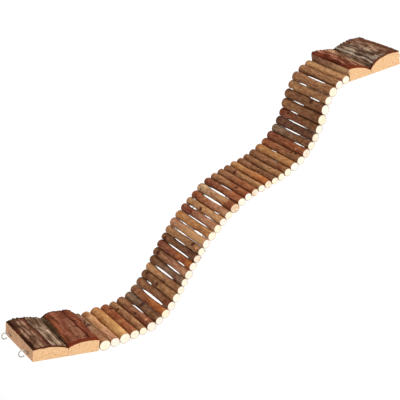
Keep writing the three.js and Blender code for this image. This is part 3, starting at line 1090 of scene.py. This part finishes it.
class Sheet:
    """Points over a slab about a step apart, numbered in rows across it."""

    def __init__(self, slab, step):
        self.columns = round(slab.width / step)
        self.rows = round(WIDTH / step)
        self.count = self.columns * self.rows
        last_row = self.count - self.columns
        self.rim = [
            *range(self.columns), *range(2 * self.columns - 1, self.count, self.columns),
            *range(self.count - 2, last_row - 1, -1), *range(last_row - self.columns, 0, -self.columns),
        ]

    def shares(self, index):
        """Shares of the slab's width and of the twigs' length at a point."""
        row, column = divmod(index, self.columns)
        return column / (self.columns - 1), row / (self.rows - 1)

    def solid(self, top, bottom, sides=()):
        """Vertices and faces of a solid between two sheets, and more rounds of points up its sides."""
        vertices = top + bottom
        faces = []
        for a in range(self.count - self.columns):
            if (a + 1) % self.columns:
                b, c, d = a + 1, a + 1 + self.columns, a + self.columns
                faces.append((a, b, c, d))
                faces.append(tuple(self.count + corner for corner in (d, c, b, a)))
        levels = [[self.count + index for index in self.rim]]
        for points in sides:
            levels.append(range(len(vertices), len(vertices) + len(points)))
            vertices += points
        levels.append(self.rim)
        for lower, upper in zip(levels, levels[1:]):
            for here in range(len(self.rim)):
                there = (here + 1) % len(self.rim)
                faces.append((lower[here], lower[there], upper[there], upper[here]))
        return vertices, faces


def turned_out(piece):
    """Turns the faces of a closed piece outwards."""
    shape = bmesh.new()
    shape.from_mesh(piece.data)
    if shape.calc_volume(signed=True) < 0:
        piece.data.flip_normals()
    shape.free()
    return piece


def make_bark(slab, material):
    """The bark of a slab, as a closed skin whose back lies a little in the wood."""
    sheet = Sheet(slab, BARK_STEP)
    top, bottom, colors = [], [], []
    for share, deep in map(sheet.shares, range(sheet.count)):
        y = (2 * deep - 1) * HALF_WIDTH
        state = bark_state(slab, share, y)
        ragged = max(RAGGED * (0.5 + state.fine), 0)
        if deep in (0, 1):
            y -= math.copysign(ragged, y)
        out = slab.start + share * slab.width
        if share == slab.free_share:
            out += ragged if share == 0 else -ragged
        height = bark_height(slab, share, y, state)
        top.append(slab.platform.world(out, y, slab.bottom + height))
        back = slab.wood_height(share, y) - BARK_SINK
        bottom.append(slab.platform.world(out, y, slab.bottom + back))
        colors.append(bark_color(slab, share, y, state))
    vertices, faces = sheet.solid(top, bottom)
    piece = turned_out(mesh_object(f"{slab.name}_bark", vertices, faces, [material], sharp=75))
    store_colors(piece, "Bark", colors + [linear(slab.looks.border_color)] * len(bottom))
    return piece


def make_wood(slab, wood, bore):
    """The sawn wood of a slab: flat below and at the sides, rounded at its lower edges, and with the
    mouths of the bores cut into its upright faces."""
    sheet = Sheet(slab, WOOD_STEP)

    def point(index, drawn_in, base, share):
        """A point drawn in from the sawn faces: from a base, a share of the way up to the top."""
        across, deep = sheet.shares(index)
        y = (2 * deep - 1) * (HALF_WIDTH - drawn_in)
        height = base + (slab.wood_height(across, y) - base) * share
        out = slab.start + drawn_in + across * (slab.width - 2 * drawn_in)
        return slab.platform.world(out, y, slab.bottom + height)

    top = [point(index, 0, 0, 1) for index in range(sheet.count)]
    bottom = [point(index, WOOD_EDGE, 0, 0) for index in range(sheet.count)]
    rounds = [(0.5 * WOOD_EDGE, 0.1 * WOOD_EDGE, 0), (0.1 * WOOD_EDGE, 0.5 * WOOD_EDGE, 0)]
    rounds += [(0, WOOD_EDGE, row / SIDE_ROWS) for row in range(SIDE_ROWS)]
    sides = [[point(index, *place) for index in sheet.rim] for place in rounds]
    vertices, faces = sheet.solid(top, bottom, sides)
    piece = turned_out(mesh_object(f"{slab.name}_wood", vertices, faces, [wood, bore], sharp=30))
    cut_bores(piece, slab, bore)
    store_rings(piece, slab)
    store_wood_colors(piece, slab)
    return piece


def cut_bores(piece, slab, bore):
    """Cuts the worn mouths of both bores into the slab's two upright faces along the twigs."""
    for side in (-WIRE_SIDE, WIRE_SIDE):
        for out in (slab.start, slab.start + slab.width):
            cutter = bore_cutter(slab.platform, out, side, bore)
            modifier = piece.modifiers.new("bore", "BOOLEAN")
            modifier.operation = "DIFFERENCE"
            modifier.solver = "EXACT"
            modifier.material_mode = "TRANSFER"
            modifier.object = cutter
            bpy.context.view_layer.update()
            shaped = piece.evaluated_get(bpy.context.evaluated_depsgraph_get())
            mesh = bpy.data.meshes.new_from_object(shaped)
            piece.modifiers.clear()
            piece.data = mesh
            bpy.data.objects.remove(cutter)


def bore_cutter(platform, out, side, bore):
    """A flat-oval plug round the wire, half in and half out of the face."""
    straight = (MOUTH_LENGTH - MOUTH_WIDTH) / 2
    vertices = []
    for depth in (-MOUTH_DEPTH, MOUTH_DEPTH):
        for turn in turns(MOUTH_SIDES):
            wide = math.cos(turn) * MOUTH_WIDTH + math.copysign(straight, math.cos(turn))
            vertices.append(platform.world(out + depth, side + wide, math.sin(turn) * MOUTH_WIDTH))
    return turned_out(mesh_object("bore_cutter", vertices, tube_faces(0, 2, MOUTH_SIDES), [bore]))


def store_rings(piece, slab):
    """Growth rings: distance from the middle of the log, which lies under the slab, in ring widths."""
    outwards, under = LOG_MIDDLE_SHARES
    middle_out = slab.start + slab.width * outwards
    middle_height = slab.bottom - slab.width * under
    places = [slab.platform.local(vertex.co) for vertex in piece.data.vertices]
    store_values(piece, "Rings", [
        math.hypot(place.x - middle_out, place.z - middle_height) / GROWTH_RING for place in places
    ])


def store_wood_colors(piece, slab):
    """Colour of the wood at each corner: fresh on the sawn ends, greyer and browner on the sides, with
    bark spilt over the inner side of one slab."""
    near_side, far_side = [linear(code) for code in slab.looks.side_colors]
    spill = slab.looks.spill
    colors = []
    for corner in piece.data.loops:
        place = piece.data.vertices[corner.vertex_index].co
        local = slab.platform.local(place)
        far = smooth(-1, 1, place.y / HALF_WIDTH)
        color = near_side.lerp(far_side, far)
        if spill and local.x < slab.start + WOOD_EDGE:
            level = (local.z - slab.bottom) / slab.top(0, place.y)
            waver = uneven(local.z / (2.5 * MM), place.y / (7 * MM), slab.looks.seed)
            spilt = smooth(0.2, 0.5, spill * (0.35 + 0.65 * far) + 0.6 * waver - (1 - level))
            color = color.lerp(linear(SPILL_COLOR), 0.75 * spilt)
        colors.append(linear(END_WOOD_COLOR) if abs(corner.normal.y) > 0.7 else color)
    store_colors(piece, "Wood", colors, "CORNER")


def make_platform(platform, materials):
    for part in ("inner", "outer"):
        slab = Slab(platform, part)
        stands_in(make_wood(slab, materials["wood"], materials["bore"]), platform.body, slab.node)
        stands_in(make_bark(slab, materials["bark"]), platform.body, slab.node)
    make_hooks(platform, materials["wire"])


def main():
    make_camera()
    make_studio()
    bark, cut = painted(twig_bark), painted(twig_cut)
    twigs = [Twig(index) for index in range(1, len(TWIG_NAMES) + 1)]
    lower = Platform("lower", frame["joints"][0])
    upper = Platform("upper", frame["joints"][-1])
    set_walls(twigs, lower, upper)
    for twig in twigs:
        make_twig(twig, bark, cut)
    materials = {"wood": painted(slab_wood), "bark": painted(slab_bark), "bore": painted(bore_wood),
                 "wire": painted(wire_steel)}
    make_platform(lower, materials)
    make_platform(upper, materials)
    make_wires(materials["wire"], [lower.inner_end, *[twig.middle for twig in twigs], upper.inner_end])


main()
